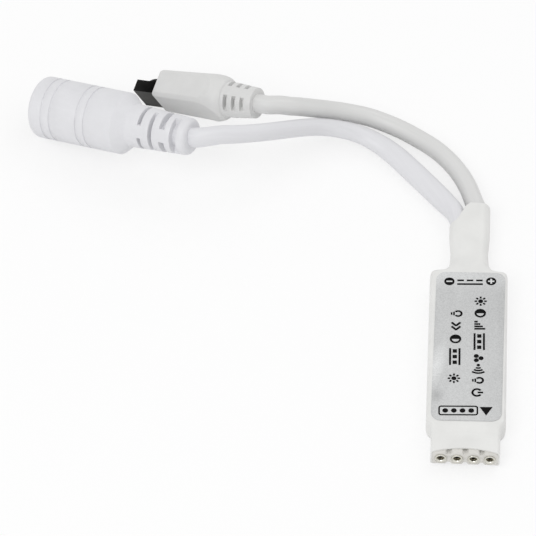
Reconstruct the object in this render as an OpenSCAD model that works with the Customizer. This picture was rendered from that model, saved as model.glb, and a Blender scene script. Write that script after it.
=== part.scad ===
// Inline controller for colour light strips: a circuit board in a shrunk sleeve, with a
// four-way socket strip at one end and two cords at the other, one to a power socket
// and one to an infrared receiver. Millimetres. +Y runs along the controller towards
// the cords, +Z is up, and the origin is the middle of the controller's underside.

/* [Output socket] */
// Distance between two neighbouring contacts
pitch = 2.54; // [2.5:0.01:2.6]
// Number of contacts
ways = 4; // [3:1:4]
// Height of the plastic strip
strip_h = 2.54; // [2.4:0.02:2.7]
// Depth of the plastic strip behind its face
strip_depth = 3; // [2.8:0.1:3.3]
// Width of the notch between two contacts
notch_w = 1; // [0.4:0.1:1.1]
// Depth of the notch between two contacts
notch_d = 0.45; // [0.2:0.05:0.5]
// Chamfer along the edges of the plastic strip
strip_chamfer = 0.3; // [0.2:0.05:0.4]
// Diameter of a contact's flange
flange_d = 1.84; // [1.7:0.02:2]
// How far a flange stands out of the face
flange_proud = 0.2; // [0.1:0.05:0.3]
// Diameter of a contact's barrel
barrel_d = 1.35; // [1.3:0.01:1.5]
// Diameter of the bore in a contact
contact_bore_d = 1; // [0.95:0.01:1.05]
// Depth of the bore in a contact
contact_bore_depth = 3; // [2.9:0.1:3.1]
// Diameter of the funnel at the mouth of a contact
funnel_d = 1.4; // [1.2:0.05:1.5]
// Wall of the spring clip in a contact
clip_wall = 0.15; // [0.1:0.01:0.16]
// Length of the spring clip in a contact
clip_len = 2.3; // [2:0.1:2.4]
// Diameter of a contact's solder tail
tail_d = 0.5; // [0.4:0.05:0.6]
// Length of a contact's solder tail
tail_len = 3.4; // [3:0.1:4]

/* [Circuit board] */
// Width of the board
board_w = 11.7; // [11.5:0.1:13]
// Length of the board's full width
board_len = 30.8; // [30.4:0.1:36]
// Thickness of the board
board_t = 1; // [0.8:0.1:1.2]
// How much narrower than the strip the tongue is, on each side
tongue_inset = 0.4; // [0.3:0.1:0.6]
// Length of the tongue
tongue_len = 2.8; // [2.5:0.1:3]
// Height of the room for the tallest part on the board
parts_room = 2.28; // [2.2:0.02:3]
// Height of the room under the board
foot_room = 0.62; // [0.6:0.01:1]

/* [Sleeve] */
// Wall of the sleeve
sleeve_wall = 0.25; // [0.2:0.01:0.3]
// Room between the sleeve and what it holds
sleeve_fit = 0.05; // [0.03:0.01:0.1]
// Width of the neck at its narrowest
neck_w = 6.1; // [5.6:0.05:6.5]
// Height of the neck at its narrowest
neck_h = 3.4; // [3.2:0.1:4]
// Length from the body down to the narrow neck
neck_shoulder_len = 5.7; // [5:0.1:7]
// Length over which the neck widens to the cords
flare_len = 4; // [3:0.1:6]
// Length of the mouth over the cords
mouth_len = 5.8; // [4.5:0.1:8]
// How far the mouth is cut back on the side of the power cord
mouth_cut = 4; // [0:0.1:4.2]
// How far the output lip is cut back at its middle
lip_cut = 0.95; // [0:0.05:1]

/* [Label] */
// Length of the label
label_len = 31.4; // [25:0.1:31.5]
// Width of the label
label_w = 11.3; // [9:0.1:11.4]
// Thickness of the label
label_t = 0.1; // [0.05:0.01:0.15]
// Corner radius of the label
label_r = 1.6; // [0.5:0.1:3]
// Turn of the label on the sleeve, in degrees
label_skew = 0.6; // [-0.6:0.1:0.6]

/* [Cords] */
// Width of the oval power cord
power_cord_w = 3.7; // [3.4:0.1:3.9]
// Thickness of the oval power cord
power_cord_t = 2.9; // [2.8:0.05:3]
// Diameter of the round receiver cord
receiver_cord_d = 3.1; // [3:0.05:3.2]
// Diameter of a core of the power cord
power_core_d = 1.1; // [1:0.05:1.15]
// Diameter of a core of the receiver cord
receiver_core_d = 0.8; // [0.7:0.05:0.85]

/* [Power socket] */
// Diameter of the moulded barrel
jack_d = 10.3; // [10.1:0.1:11]
// Length of the moulded barrel
jack_barrel_len = 16.3; // [15:0.1:18]
// Length of the taper behind the barrel
jack_taper_len = 1.8; // [1.5:0.1:3]
// Length of the strain relief
jack_relief_len = 11; // [10.5:0.1:12]
// Diameter of the strain relief at the taper
jack_relief_d = 7.2; // [6.9:0.1:7.5]
// Diameter of the strain relief at the cord
jack_relief_end_d = 6.2; // [6.1:0.1:6.8]
// Radius on the rim of the barrel
jack_rim_r = 1; // [0.6:0.1:1.3]
// Width of a ring groove
groove_w = 0.4; // [0.2:0.05:0.6]
// Depth of a ring groove
groove_d = 0.12; // [0.1:0.02:0.3]
// Width of the middle slots in the strain relief
slot_w = 1; // [0.7:0.05:1.2]
// Wall left between a slot and the wires
slot_floor = 0.8; // [0.6:0.1:1]
// Diameter of the insulator
core_d = 8; // [7.8:0.1:8.2]
// Length of the insulator
core_len = 13.2; // [13:0.1:14]
// Diameter of the hole for the plug
plug_bore_d = 6; // [5.8:0.1:6.2]
// Depth of the hole for the plug
plug_depth = 10; // [9.5:0.1:10.5]
// Diameter of the centre pin
pin_d = 2; // [1.9:0.05:2.1]
// How far the pin's tip lies behind the face
pin_recess = 0.8; // [0.3:0.1:1.5]
// Thickness of the leaf contact
leaf_t = 0.3; // [0.2:0.02:0.35]
// Width of the leaf contact
leaf_w = 2; // [1.5:0.1:2.2]
// Downward tilt of the socket as it lies, in degrees
jack_dip = 12.5; // [10:0.5:13]

/* [Receiver] */
// Thickness of the moulded head
head_t = 5; // [4.8:0.1:5.4]
// Width of the moulded head at the sensor
head_w = 6.3; // [6.2:0.1:7]
// Share by which the head widens towards the cord
head_draft_share = 0.12; // [0:0.01:0.15]
// Length of the moulded head over the strain relief too
head_len = 18.4; // [17.5:0.1:21]
// Length of the strain relief
head_relief_len = 5.4; // [5.2:0.1:6]
// Length over which the strain relief swells into the head
head_ogive_len = 3.6; // [2.5:0.1:4]
// Diameter of the strain relief at the cord
head_relief_end_d = 5.1; // [5:0.1:5.3]
// Diameter of the strain relief at the head
head_relief_d = 6.1; // [5.8:0.1:6.3]
// Width of a slot in the strain relief
head_slot_w = 0.7; // [0.5:0.05:0.8]
// Width of the sensor
sensor_w = 5.2; // [4.8:0.1:5.4]
// Thickness of the sensor without its dome
sensor_t = 2.1; // [1.9:0.05:2.3]
// How far the sensor stands out of the head
sensor_out = 3.8; // [3.6:0.1:5]
// How far the sensor goes into the head
sensor_in = 2.9; // [2.5:0.1:3.2]
// Height of the dome
dome_h = 1.6; // [1:0.05:1.65]
// Radius of the dome's foot
dome_r = 2; // [1.6:0.1:2.1]
// Downward tilt of the head as it lies, in degrees
head_dip = 16; // [14:0.5:17]

/* [Hidden] */

$fn = 48;
// Gap between pieces that seat in each other
seat_gap = 0.02;
// Overrun of every cut past the face it opens
cut_over = 0.2;

// Heights in the controller
board_rise = foot_room + sleeve_wall;
board_top = board_rise + board_t;
strip_z = board_top + tail_d / 2;
body_h = board_top + parts_room + sleeve_wall;
body_w = board_w + 2 * (sleeve_wall + 3 * sleeve_fit);
strip_w = ways * pitch;

// Width of a notch's floor, as a share of its mouth
notch_floor_share = 0.4;
// Gap between the strip's back and the tongue
strip_back_gap = 0.3;
// Wall behind the bore of a contact
contact_floor = 0.2;
contact_end = contact_bore_depth - flange_proud + contact_floor;
// Gap between the board's corners and the ends of the body's straight stretch
board_corner_gap = 0.2;
board_tail_gap = 0.1;
// Length of the shoulder at the output end
out_shoulder_len = 2.6;
// Gap between the cords in the mouth, and round them
cord_gap = 0.03;
// How far the label sits off the body's middle, towards the output end
label_shift = 0.45;

// Places along the controller, from the face of the strip
tongue_s = max(strip_depth, contact_end) + strip_back_gap;
board_s = tongue_s + tongue_len;
body_start_s = board_s + board_corner_gap;
body_end_s = board_s + board_len - board_tail_gap;
neck_s = body_end_s + neck_shoulder_len;
mouth_s = neck_s + flare_len;
apex_s = mouth_s + mouth_len;
total_len = apex_s + flange_proud;
face_y = flange_proud - total_len / 2;
jacket_y = face_y + mouth_s + cord_gap;

// Outer sizes of the sleeve at its ends
skin = sleeve_wall + sleeve_fit;
out_w = strip_w + 2 * skin;
out_lo = strip_z - strip_h / 2 - skin;
out_hi = strip_z + strip_h / 2 + skin;
mouth_w = receiver_cord_d + power_cord_t + 3 * cord_gap + 2 * sleeve_wall;
mouth_h = power_cord_w + 2 * (sleeve_wall + cord_gap);
mouth_lift = 0.05;
cord_z = mouth_lift + mouth_h / 2;
neck_lo = cord_z - neck_h / 2;
receiver_cord_x = mouth_w / 2 - sleeve_wall - cord_gap - receiver_cord_d / 2;
power_cord_x = sleeve_wall + cord_gap + power_cord_t / 2 - mouth_w / 2;

// Corner radii of the sleeve: across, then up
body_corner = [0.5, 1.9];
out_corner = [0.65, 0.65];
neck_corner = [1.6, 1.5];
mouth_corner = [1.45, 1.85];

// Shoulders of the sleeve: share of the way along, of the width and of the height
out_shoulder_shares = [[0.12, 0, 0.08], [0.25, 0.02, 0.25], [0.38, 0.05, 0.5], [0.5, 0.1, 0.72],
    [0.62, 0.28, 0.88], [0.72, 0.55, 0.95], [0.84, 0.85, 0.99], [0.93, 0.97, 1]];
neck_shoulder_shares = [[0.026, 0.01, 0.01], [0.053, 0.05, 0.03], [0.07, 0.14, 0.05], [0.088, 0.264, 0.07],
    [0.114, 0.42, 0.1], [0.14, 0.55, 0.14], [0.226, 0.7, 0.27], [0.316, 0.82, 0.42],
    [0.447, 0.915, 0.64], [0.56, 0.965, 0.8], [0.74, 0.99, 0.94]];
flare_shares = [0.25, 0.5, 0.75];
// Stretch of the mouth's width, from its middle, over which it is cut back
mouth_cut_shares = [0, 0.8];

// Rings along the sleeve: place, width, bottom, top, corner radii, lip share and cut share
function blend(a, b, share) = a + (b - a) * share;
out_ring = [0, out_w, out_lo, out_hi, out_corner, 1, 0];
out_end_ring = [body_start_s - out_shoulder_len, out_w, out_lo, out_hi, out_corner, 0, 0];
body_ring = [body_start_s, body_w, 0, body_h, body_corner, 0, 0];
body_end_ring = [body_end_s, body_w, 0, body_h, body_corner, 0, 0];
neck_ring = [neck_s, neck_w, neck_lo, neck_lo + neck_h, neck_corner, 0, 0];
mouth_ring = [mouth_s, mouth_w, mouth_lift, mouth_lift + mouth_h, mouth_corner, 0, 0];
apex_ring = [apex_s, mouth_w, mouth_lift, mouth_lift + mouth_h, mouth_corner, 0, 1];
function ring_between(a, b, along, wide, high) = [blend(a[0], b[0], along), blend(a[1], b[1], wide),
    blend(a[2], b[2], high), blend(a[3], b[3], high), blend(a[4], b[4], wide), 0, 0];
sleeve_rings = concat(
    [out_ring, out_end_ring],
    [for (s = out_shoulder_shares) ring_between(out_end_ring, body_ring, s[0], s[1], s[2])],
    [body_ring, body_end_ring],
    [for (s = neck_shoulder_shares) ring_between(body_end_ring, neck_ring, s[0], s[1], s[2])],
    [neck_ring],
    [for (s = flare_shares) ring_between(neck_ring, mouth_ring, s, s, s)],
    [mouth_ring, apex_ring]);

// Points of one ring: four rounded corners and the long sides between them
corner_points = 8;
side_points = 5;
ring_sides = 4 * corner_points + 2 * side_points;
function ring_corner(half, corner, k) = [for (i = [0 : corner_points - 1])
    let (turn = 90 * k + 90 * i / (corner_points - 1))
    [(k == 0 || k == 3 ? 1 : -1) * (half[0] - corner[0]) + corner[0] * cos(turn),
        (k < 2 ? 1 : -1) * (half[1] - corner[1]) + corner[1] * sin(turn)]];
function ring_side(half, corner, side) = [for (i = [1 : side_points])
    side * [(half[0] - corner[0]) * (1 - 2 * i / (side_points + 1)), half[1]]];
function smooth(u) = let (v = min(1, max(0, u))) v * v * (3 - 2 * v);
function end_shift(ring, x) = let (half = ring[1] / 2)
    ring[5] * lip_cut * (1 - pow(x / half, 2))
    - ring[6] * mouth_cut * smooth((-x / half - mouth_cut_shares[0])
        / (mouth_cut_shares[1] - mouth_cut_shares[0]));
// One ring of the sleeve, drawn in by the wall for the inside
function sleeve_ring(ring, inset) = let (
        half = [ring[1] / 2 - inset, (ring[3] - ring[2]) / 2 - inset],
        corner = [max(inset / 2, ring[4][0] - inset), max(inset / 2, ring[4][1] - inset)],
        outline = concat(ring_corner(half, corner, 0), ring_side(half, corner, 1),
            ring_corner(half, corner, 1), ring_corner(half, corner, 2), ring_side(half, corner, -1),
            ring_corner(half, corner, 3)))
    [for (p = outline) [p[0], face_y + ring[0] + end_shift(ring, p[0]), (ring[2] + ring[3]) / 2 + p[1]]];

// Triangles between rings, and over the two ends of a solid tube
function ring_faces(rings, sides, closed) = [
    for (i = [0 : rings - (closed ? 1 : 2)], j = [0 : sides - 1])
        let (next = ((i + 1) % rings) * sides, turn = (j + 1) % sides)
        each [[i * sides + j, next + turn, next + j], [i * sides + j, i * sides + turn, next + turn]]];
function cap_faces(rings, sides) = [for (j = [1 : sides - 2])
    let (last = (rings - 1) * sides)
    each [[0, j + 1, j], [last, last + j, last + j + 1]]];

// Parts on the board: shares of its width from the middle, and of its length
chip_place_shares = [[0, 0.56]];
regulator_place_shares = [[-0.25, 0.8]];
diode_place_shares = [[0.27, 0.8]];
transistor_place_shares = [[-0.32, 0.24], [0, 0.24], [0.32, 0.24]];
capacitor_place_shares = [[-0.4, 0.62], [0.4, 0.62], [0.05, 0.8], [-0.4, 0.42]];
resistor_place_shares = [[-0.39, 0.12], [0.39, 0.12], [-0.15, 0.37], [0.05, 0.37], [0.25, 0.37],
    [0.41, 0.44]];
power_pad_shares = [-0.115, -0.255];
receiver_pad_shares = [0.02, 0.14, 0.26];
pad_row_share = 0.965;

// Small parts on the board: across the board, along it and up
board_seat = 0.03;
chip_size = [3.9, 4.9, 1.5];
regulator_size = [4.5, 2.5, 1.5];
transistor_size = [2.9, 1.3, 1];
diode_size = [2.6, 4.3, 2.1];
capacitor_size = [1.25, 2, 1.2];
resistor_size = [0.8, 1.6, 0.5];
end_cap_share = 0.22;
end_cap_proud = 0.03;
diode_tab_w = 1.4;
diode_foot = 0.9;
regulator_tab = [1.8, 1, 0.4];
lead_w = 0.42;
lead_t = 0.2;
lead_reach = 1;
lead_foot = 0.55;
chip_lead_pitch = 1.27;
regulator_lead_pitch = 1.5;
transistor_lead_pitch = 1.9;
board_chamfer = 0.4;

// Clips, solder beads and wires in the controller
clip_start = 0.3;
clip_slit = 0.08;
clip_slit_share = 0.65;
solder_skirt = 0.25;
solder_cover = 0.15;
solder_top_share = 0.7;
power_lane_inset = 1.235;
power_lane_x = power_lane_inset + sleeve_wall - neck_w / 2;
power_core_rise = 0.8;
receiver_lane_inset = 1.335;
receiver_lane_x = neck_w / 2 - sleeve_wall - receiver_lane_inset;
receiver_core_offsets = [[-0.5, -0.35], [0, 0.5], [0.5, -0.35]];
wire_run = 4.7;
pad_run = 1.1;
wire_sides = 12;

// Moulded socket, measured from the cord's end to the nose, and its slots' widths as shares
jack_len = jack_relief_len + jack_taper_len + jack_barrel_len;
jack_r = jack_d / 2;
jack_tail_r = 0.8;
groove_place_shares = [0.31, 0.405, 0.72, 0.82];
jack_slot_shares = [1.25, 1, 0.7, 0.65];
jack_slot_start = 2;
jack_slot_pitch = 2.12;
bridge_w = 2.2;
// Turn of the first row's bridges, in degrees from the underside
jack_bridge_turn = 30;
cord_lap = 0.2;
jack_channel_r = power_cord_t / 2 - cord_lap;
core_recess = 0.3;
core_start = jack_len - core_recess - core_len;
core_shoulder = 0.3;
jack_cavity_r = core_d / 2 - core_shoulder;
jack_cavity_wall = 0.6;
jack_cavity_start = jack_relief_len + jack_cavity_wall;
pin_shank_d = 1.6;
pin_tail_len = 1.6;
pin_nose = 0.5;
leaf_sink = 0.05;
leaf_bump = 0.4;
leaf_front = 1.8;
leaf_bump_run = 2.2;
leaf_tail_len = 2.4;
leaf_r = plug_bore_d / 2 + leaf_sink;
jack_wire_x = power_core_d / 2 + cord_gap;

// Moulded head of the receiver, measured from the cord's end to the nose
head_slots = 3;
head_slot_start = 1.55;
head_slot_pitch = 1.52;
head_bridge_w = 1.8;
head_slot_floor = 0.6;
head_bridges = 4;
// Turn of the head's bridges, in degrees
head_bridge_turn = 6;
head_channel_r = receiver_cord_d / 2 - 2 * cord_lap;
head_nose_r = 0.5;
head_nose_share = 0.3;
head_round_r = 3.65;
head_swell_r = 4.1;
head_outline_share = 1.3;
head_cavity = [4.2, 2.8];
head_cavity_y = 0.2;
head_cavity_wall = 0.8;
head_cavity_start = head_relief_len + head_cavity_wall;
sensor_y = 0.9;
sensor_back = head_len - sensor_in;
dome_place = 2.65;
dome_sphere_r = (pow(dome_r, 2) + pow(dome_h, 2)) / (2 * dome_h);
receiver_lead_pitch = 1.27;
receiver_lead_len = 5.8;
receiver_lead_w = 0.5;
receiver_lead_t = 0.3;
receiver_core_share = 0.6;
receiver_core_ring = receiver_core_share * receiver_core_d;
lead_wire_turns = [210, 90, 330];
wire_fan_start = 6.6;
wire_fan_end = 0.5;

// Lie of the moulded ends: turn in degrees, roll in degrees and place of the cord's end
jack_heading = 155;
head_heading = 156;
head_roll = -21;
mouth = [0, jacket_y, 0];
jack_tail_place = [-45.7, 11.8];
head_tail_place = [-35.6, 22];
jack_tail_z = (jack_len - jack_rim_r) * sin(jack_dip) + (jack_r - jack_rim_r) * cos(jack_dip) + jack_rim_r;
head_tail_z = (head_len + sensor_out) * sin(head_dip)
    + cos(head_dip) * (sensor_w / 2 * cos(head_roll) - (sensor_y + sensor_t / 2) * sin(head_roll));
jack_tail = mouth + concat(jack_tail_place, jack_tail_z);
head_tail = mouth + concat(head_tail_place, head_tail_z);

// Routes of the cords' free stretches, from the sleeve's mouth to the moulded ends
power_route = [[-1.6, 2.4, 2.15], [-2.5, 5.4, 2.1], [-3.8, 7.4, 1.9], [-5.2, 9.3, 1.75],
    [-7.7, 12.5, 1.65], [-10.4, 15.8, 1.6], [-12.6, 18.3, 1.65], [-15.1, 20.5, 1.8], [-18.5, 22, 2.5],
    [-21.9, 21.9, 3.7], [-25.2, 20.8, 5.2], [-28.4, 18.6, 7.1], [-31.5, 16.2, 8.9], [-34.6, 14.1, 10.4],
    [-38, 12.7, 11.3], [-41.2, 11.9, 11.8], [-43.7, 11.5, 11.6]];
receiver_route = [[1.45, 3, 2.15], [1.2, 6, 2.1], [0.5, 8.4, 2], [-0.4, 11.4, 1.8], [-1.7, 14.4, 1.65],
    [-3.6, 17.4, 1.6], [-5.9, 20, 1.6], [-8.9, 22.4, 1.6], [-12.2, 24.5, 1.7], [-14.5, 25.5, 1.9],
    [-17, 26.1, 2.4], [-20.3, 26, 3.4], [-23.7, 25.1, 4.9], [-26.1, 23.9, 6.4], [-28.6, 22.7, 7.9],
    [-30.2, 21.9, 8.8], [-31.9, 21.6, 9.3], [-33.8, 21.4, 9.4]];
// Turn of the oval cord's wide side from level, in degrees, by share of the way along
power_twist = [[0, 90], [0.08, 88], [0.2, 50], [0.33, 25], [0.45, -10], [0.6, -46], [0.8, -60],
    [1, -90]];
cord_steps = 2;
cord_sides = 8;

// A smooth line through the points of a route, and its heading at each point
function unit(v) = v / norm(v);
function heading(line, ends, i) = i == 0 ? ends[0] : i == len(line) - 1 ? ends[1]
    : unit(unit(line[i + 1] - line[i]) + unit(line[i] - line[i - 1]));
function line_point(line, ends, i, u) = let (run = norm(line[i + 1] - line[i]))
    line[i] * (1 + u * u * (2 * u - 3)) + line[i + 1] * u * u * (3 - 2 * u)
    + heading(line, ends, i) * run * u * pow(1 - u, 2) - heading(line, ends, i + 1) * run * u * u * (1 - u);
function smooth_line(line, ends, steps) = concat(
    [for (i = [0 : len(line) - 2], k = [0 : steps - 1]) line_point(line, ends, i, k / steps)],
    [line[len(line) - 1]]);
function line_ends(line) = [unit(line[1] - line[0]), unit(line[len(line) - 1] - line[len(line) - 2])];
// One ring of a cord: its wide side lies at a turn from the level side
function cord_ring(centre, along, size, turn, sides, up) = let (
        side = unit(cross(along, up)), lift = cross(side, along))
    [for (j = [0 : sides - 1]) let (
            u = size[0] / 2 * cos(360 * (j + 0.5) / sides), v = size[1] / 2 * sin(360 * (j + 0.5) / sides))
        centre + side * (u * cos(turn) - v * sin(turn)) + lift * (u * sin(turn) + v * cos(turn))];

// A cord or wire of given width and thickness along a line of points
module cord(line, ends, size, sides, twist = [[0, 0]], up = [0, 0, 1]) {
    last = len(line) - 1;
    polyhedron([for (i = [0 : last])
            each cord_ring(line[i], heading(line, ends, i), size, lookup(i / last, twist), sides, up)],
        concat(ring_faces(last + 1, sides, false), cap_faces(last + 1, sides)));
}
module wire(line, d, up = [0, 0, 1]) cord(line, line_ends(line), [d, d], wire_sides, up = up);

// Frames of the two moulded ends: x down, y to the side, z from the cord to the nose
module on_jack() translate(jack_tail) rotate([0, 90 + jack_dip, jack_heading]) children();
module on_head() translate(head_tail) rotate([0, 90 + head_dip, head_heading]) rotate([0, 0, head_roll])
    children();

module shrink_sleeve() {
    outer = [for (r = sleeve_rings) each sleeve_ring(r, 0)];
    inner = [for (i = [len(sleeve_rings) - 1 : -1 : 0]) each sleeve_ring(sleeve_rings[i], sleeve_wall)];
    color("#e4e4e2")
        polyhedron(concat(outer, inner), ring_faces(2 * len(sleeve_rings), ring_sides, true));
}

module label_foil() color("#c4c9c7")
    translate([0, face_y + (body_start_s + body_end_s) / 2 - label_shift, body_h]) rotate([0, 0, -label_skew])
        linear_extrude(label_t) union() {
            square([label_w - 2 * label_r, label_len], center = true);
            square([label_w, label_len - 2 * label_r], center = true);
            for (x = [-1, 1], y = [-1, 1])
                translate([x * (label_w / 2 - label_r), y * (label_len / 2 - label_r)]) circle(r = label_r);
        }

// A block standing on its lower face, centred over its place
module block(size) translate([-size[0] / 2, -size[1] / 2, 0]) cube(size);

// The middle of a place on the board's upper face
module on_board(share) translate([share[0] * board_w, face_y + board_s + share[1] * board_len, board_top])
    children();

module circuit_board() color("#1f6b3a") translate([0, face_y, board_rise]) linear_extrude(board_t) {
    tongue = strip_w / 2 - tongue_inset;
    half = board_w / 2;
    end = board_s + board_len;
    polygon([[-tongue, tongue_s], [tongue, tongue_s], [tongue, board_s], [half - board_chamfer, board_s],
        [half, board_s + board_chamfer], [half, end - board_chamfer], [half - board_chamfer, end],
        [board_chamfer - half, end], [-half, end - board_chamfer], [-half, board_s + board_chamfer],
        [board_chamfer - half, board_s], [-tongue, board_s]]);
}

// A row of bent leads along the side of a body of a given half depth and height
module lead_row(half, height, count, lead_pitch) for (i = [0 : count - 1])
    translate([half, (i - (count - 1) / 2) * lead_pitch + lead_w / 2, 0]) rotate([90, 0, 0])
        linear_extrude(lead_w) polygon([[-lead_t, (height + lead_t) / 2],
            [lead_reach - lead_foot, (height + lead_t) / 2],
            [lead_reach - lead_foot, lead_t], [lead_reach, lead_t], [lead_reach, 0],
            [lead_reach - lead_foot - lead_t, 0], [lead_reach - lead_foot - lead_t, (height - lead_t) / 2],
            [-lead_t, (height - lead_t) / 2]]);

// The moulded body of a part with leads, a little above the board
module part_body(size) translate([0, 0, board_seat]) block([size[0], size[1], size[2] - board_seat]);

module control_chip() color("#26272a") on_board(chip_place_shares[0]) translate([0, 0, board_seat]) {
    part_body(chip_size);
    for (a = [0, 180]) rotate(a) lead_row(chip_size[0] / 2, chip_size[2], 4, chip_lead_pitch);
}

module voltage_regulator() color("#2a2b2d") on_board(regulator_place_shares[0])
    translate([0, 0, board_seat]) {
    part_body(regulator_size);
    rotate(-90) lead_row(regulator_size[1] / 2, regulator_size[2], 3, regulator_lead_pitch);
    translate([0, (regulator_size[1] + regulator_tab[1]) / 2 - lead_t, 0]) block(regulator_tab);
}

module polarity_diode() color("#303133") on_board(diode_place_shares[0]) translate([0, 0, board_seat]) {
    part_body(diode_size);
    for (a = [0, 180]) rotate(a) translate([0, diode_size[1] / 2 + lead_t - diode_foot / 2, 0]) {
        block([diode_tab_w, diode_foot, lead_t]);
        translate([0, (diode_foot - 2 * lead_t) / 2, 0]) block([diode_tab_w, 2 * lead_t, diode_size[2] / 2]);
    }
}

module power_transistors() color("#26272a") for (share = transistor_place_shares)
    on_board(share) translate([0, 0, board_seat]) {
        part_body(transistor_size);
        rotate(-90) lead_row(transistor_size[1] / 2, transistor_size[2], 2, transistor_lead_pitch);
        rotate(90) lead_row(transistor_size[1] / 2, transistor_size[2], 1, transistor_lead_pitch);
    }

// A chip part: a body between two end caps
module end_capped(size) {
    translate([0, 0, end_cap_proud]) block([size[0] - 2 * end_cap_proud, size[1] - end_cap_proud,
        size[2] - 2 * end_cap_proud]);
    for (a = [0, 180]) rotate(a) translate([0, (1 - end_cap_share) * size[1] / 2, 0])
        block([size[0], end_cap_share * size[1], size[2]]);
}
module ceramic_capacitors() color("#c9b28a") for (share = capacitor_place_shares)
    on_board(share) translate([0, 0, board_seat]) end_capped(capacitor_size);
module chip_resistors() color("#3a3a3c") for (share = resistor_place_shares)
    on_board(share) translate([0, 0, board_seat]) end_capped(resistor_size);

// The frame of each contact: z from the strip's face into the controller
module at_contacts() for (i = [0 : ways - 1])
    translate([(i - (ways - 1) / 2) * pitch, face_y, strip_z]) rotate([-90, 0, 0]) children();

// The strip's section: chamfered corners, and a notch above and below each wall between contacts
module strip_section() difference() {
    half = [strip_w, strip_h] / 2;
    polygon([for (k = [0 : 3]) let (sx = k == 0 || k == 3 ? 1 : -1, sy = k < 2 ? 1 : -1, even = k % 2) each
        [[sx * (half[0] - even * strip_chamfer), sy * (half[1] - (1 - even) * strip_chamfer)],
            [sx * (half[0] - (1 - even) * strip_chamfer), sy * (half[1] - even * strip_chamfer)]]]);
    for (i = [1 : ways - 1], side = [-1, 1]) translate([(i - ways / 2) * pitch, side * half[1]])
        polygon([[-notch_w / 2, side * cut_over], [notch_w / 2, side * cut_over], [notch_w / 2, 0],
            [notch_floor_share * notch_w / 2, -side * notch_d],
            [-notch_floor_share * notch_w / 2, -side * notch_d], [-notch_w / 2, 0]]);
}
module socket_strip() color("#d8d5ce") difference() {
    translate([0, face_y, strip_z]) rotate([-90, 0, 0]) linear_extrude(strip_depth) strip_section();
    at_contacts() translate([0, 0, -cut_over])
        cylinder(h = strip_depth + 2 * cut_over, d = barrel_d + 2 * seat_gap);
}

module contact_sleeves() color("#cfc9b4") at_contacts() rotate_extrude() {
    bore_end = contact_bore_depth - flange_proud;
    funnel_end = (funnel_d - contact_bore_d) / 2 - flange_proud;
    polygon([[0, bore_end], [contact_bore_d / 2, bore_end], [contact_bore_d / 2, funnel_end],
        [funnel_d / 2, -flange_proud], [flange_d / 2, -flange_proud], [flange_d / 2, 0], [barrel_d / 2, 0],
        [barrel_d / 2, contact_end], [tail_d / 2, contact_end], [tail_d / 2, contact_end + tail_len],
        [0, contact_end + tail_len]]);
}

module contact_clips() color("#c8a456") at_contacts() translate([0, 0, clip_start]) difference() {
    cylinder(h = clip_len, d = contact_bore_d - 2 * seat_gap);
    translate([0, 0, -cut_over]) cylinder(h = clip_len + 2 * cut_over,
        d = contact_bore_d - 2 * seat_gap - 2 * clip_wall);
    for (a = [0, 90]) rotate(a) translate([-contact_bore_d / 2, -clip_slit / 2, -cut_over])
        cube([contact_bore_d, clip_slit, clip_slit_share * clip_len + cut_over]);
}

// A bead of solder over the end of a wire that comes in along y
module solder_bead(wire_d, side) difference() {
    cylinder(h = wire_d + solder_cover, r1 = wire_d / 2 + solder_skirt,
        r2 = solder_top_share * (wire_d / 2 + solder_skirt));
    translate([0, -side * seat_gap, wire_d / 2]) rotate([-90 * side, 0, 0])
        cylinder(h = 3 * wire_d, d = wire_d + 2 * seat_gap);
}
module solder_joints() color("#b9bcc0") {
    for (x = power_pad_shares) on_board([x, pad_row_share]) solder_bead(power_core_d, 1);
    for (x = receiver_pad_shares) on_board([x, pad_row_share]) solder_bead(receiver_core_d, 1);
    at_contacts() translate([0, tail_d / 2, contact_end + tail_len]) rotate([90, 0, 0])
        solder_bead(tail_d, -1);
}

// A core inside the controller, from its jacket through its lane in the neck to its pad
module board_wire(cord_x, lane_x, offset, share, d) {
    pad = [share * board_w, face_y + board_s + pad_row_share * board_len, board_top + d / 2 + seat_gap];
    wire([[cord_x + offset[0], jacket_y, cord_z + offset[1]],
        [lane_x + offset[0], jacket_y - wire_run, cord_z + offset[1]], pad + [0, pad_run, 0], pad], d);
}
module power_wire(side) board_wire(power_cord_x, power_lane_x, [0, side * power_core_rise],
    power_pad_shares[side < 0 ? 0 : 1], power_core_d);
module power_wire_positive() color("#d0342c") power_wire(-1);
module power_wire_negative() color("#2b2b2d") power_wire(1);
module receiver_wire(i) board_wire(receiver_cord_x, receiver_lane_x, receiver_core_offsets[i],
    receiver_pad_shares[i], receiver_core_d);
module receiver_wire_supply() color("#c8372e") receiver_wire(0);
module receiver_wire_signal() color("#e6c33a") receiver_wire(1);
module receiver_wire_ground() color("#2b2b2d") receiver_wire(2);

module power_cord() color("#dfe1e4") {
    ends = [[0, 1, 0],
        [cos(jack_dip) * cos(jack_heading), cos(jack_dip) * sin(jack_heading), -sin(jack_dip)]];
    route = concat([[power_cord_x, jacket_y, cord_z]], [for (p = power_route) mouth + p], [jack_tail]);
    cord(smooth_line(route, ends, cord_steps), ends, [power_cord_w, power_cord_t], cord_sides, power_twist);
}

module receiver_cord() color("#cfd0d0") {
    ends = [[0, 1, 0],
        [cos(head_dip) * cos(head_heading), cos(head_dip) * sin(head_heading), -sin(head_dip)]];
    route = concat([[receiver_cord_x, jacket_y, cord_z]], [for (p = receiver_route) mouth + p], [head_tail]);
    cord(smooth_line(route, ends, cord_steps), ends, [receiver_cord_d, receiver_cord_d], cord_sides);
}

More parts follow.
